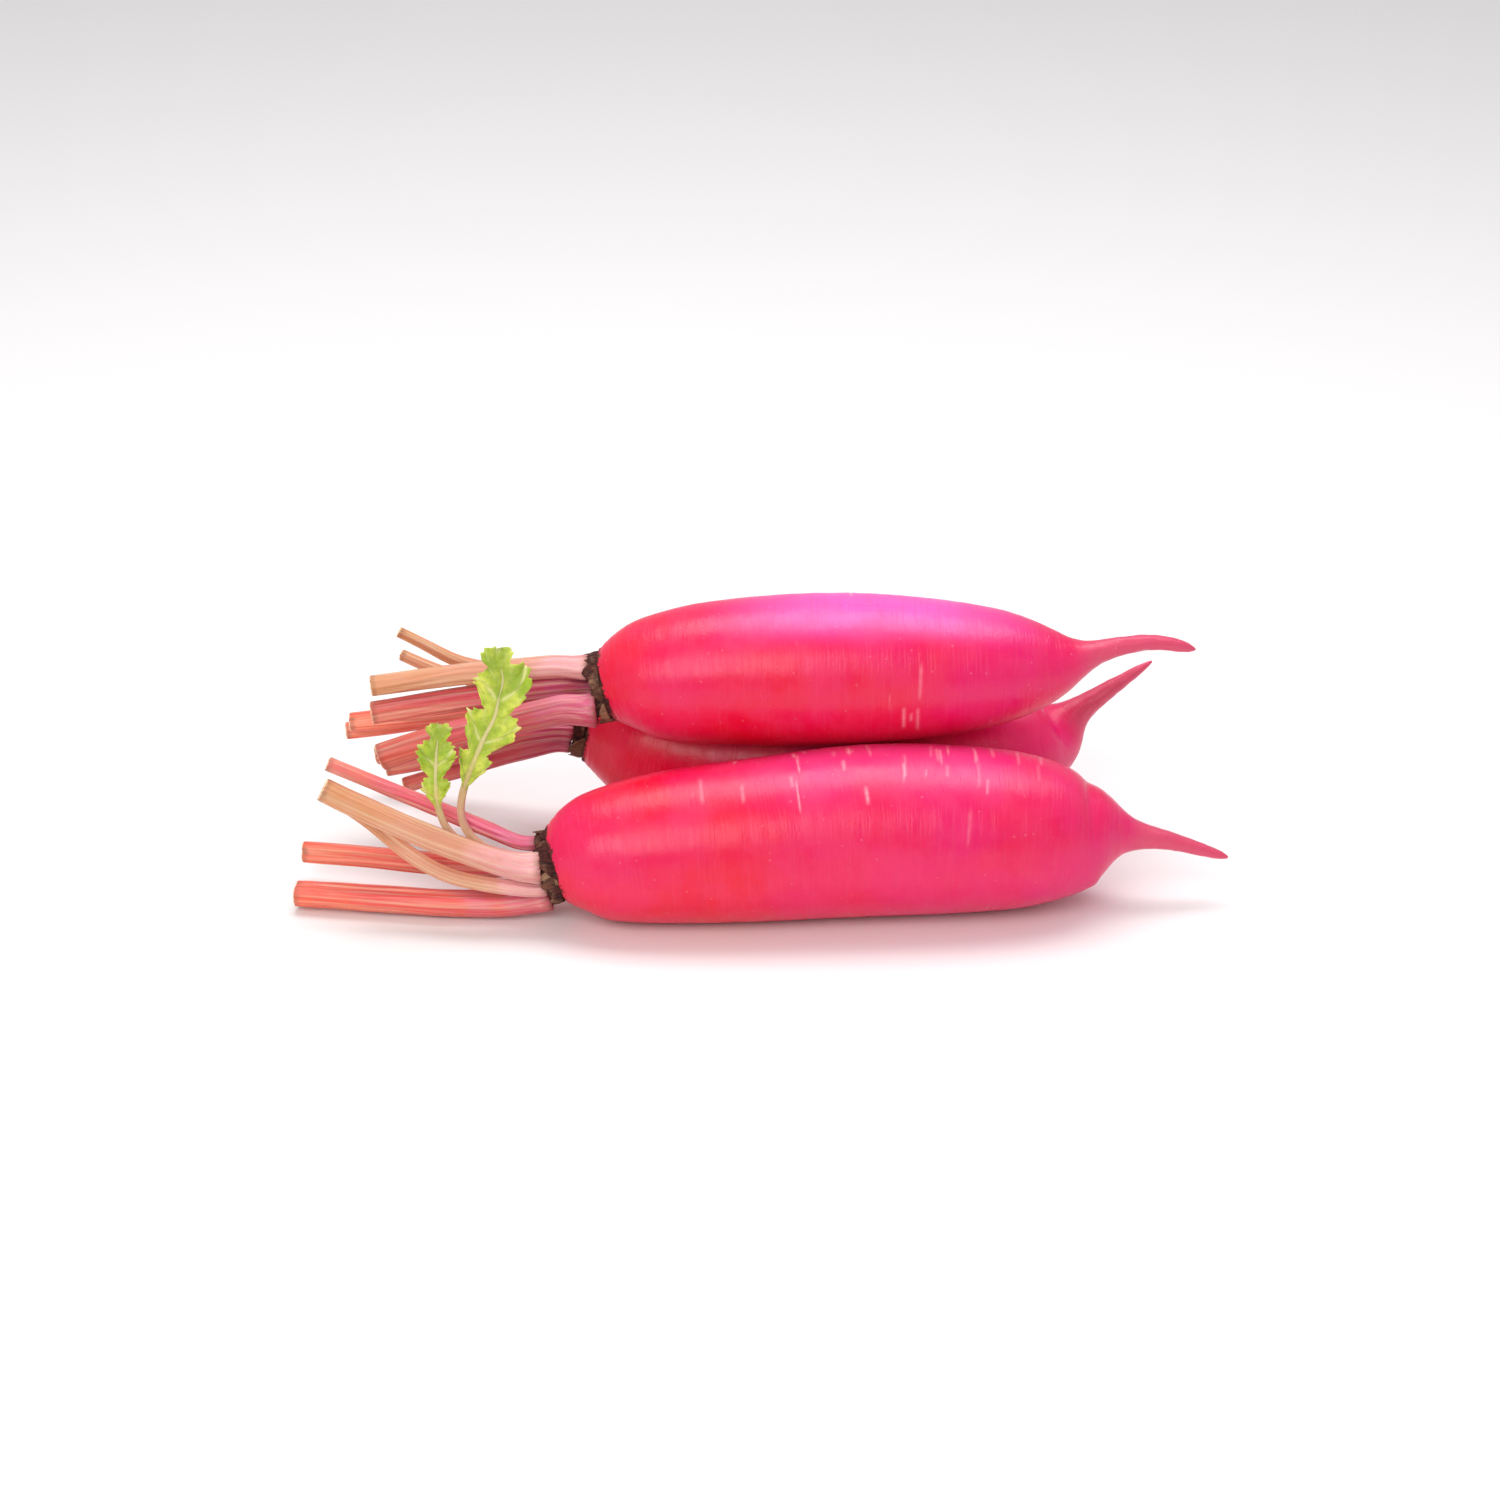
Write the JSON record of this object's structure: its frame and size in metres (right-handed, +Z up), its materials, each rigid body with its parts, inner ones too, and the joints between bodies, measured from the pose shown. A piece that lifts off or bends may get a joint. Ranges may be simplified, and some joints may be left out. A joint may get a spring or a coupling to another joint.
{
  "type": "bunch of radishes",
  "caption": "Small pile of long pink-red radishes lying flat, with crowns, thin tails, leaf stalks cut short and a few young leaves",
  "frame": {"origin": "centre of the bounding box on the surface that the bunch lies on (z = 0 at the roots' flat feet)", "axes": "+X along the roots from the crowns and stalks to the tails, +Y from the front root to the back root, +Z up"},
  "size_m": [0.2972, 0.1166, 0.094],
  "materials": {
    "root_skin": "satin waxy crimson to magenta skin, with brown corky crowns",
    "stalk_coral": "smooth moist coral leaf stalk",
    "stalk_rose": "smooth moist rose leaf stalk",
    "stalk_tan": "smooth pale tan leaf stalk",
    "leaf_green": "soft matt young yellow-green leaf"
  },
  "bodies": {
    "root": {"root_front": "root_skin", "root_back": "root_skin", "root_top": "root_skin", "front_stalk_top": "stalk_rose", "front_stalk_near": "stalk_tan", "front_stalk_inner": "stalk_tan", "front_stalk_low": "stalk_coral", "front_stalk_far": "stalk_coral", "back_stalk_low": "stalk_rose", "back_stalk_near": "stalk_rose", "back_stalk_top": "stalk_coral", "back_stalk_high": "stalk_tan", "back_stalk_far": "stalk_rose", "top_stalk_upper": "stalk_tan", "top_stalk_near": "stalk_rose", "top_stalk_middle": "stalk_rose", "top_stalk_high": "stalk_tan", "top_stalk_far": "stalk_coral", "young_leaf_small": "leaf_green", "young_leaf_large": "leaf_green"}
  },
  "joints": []
}
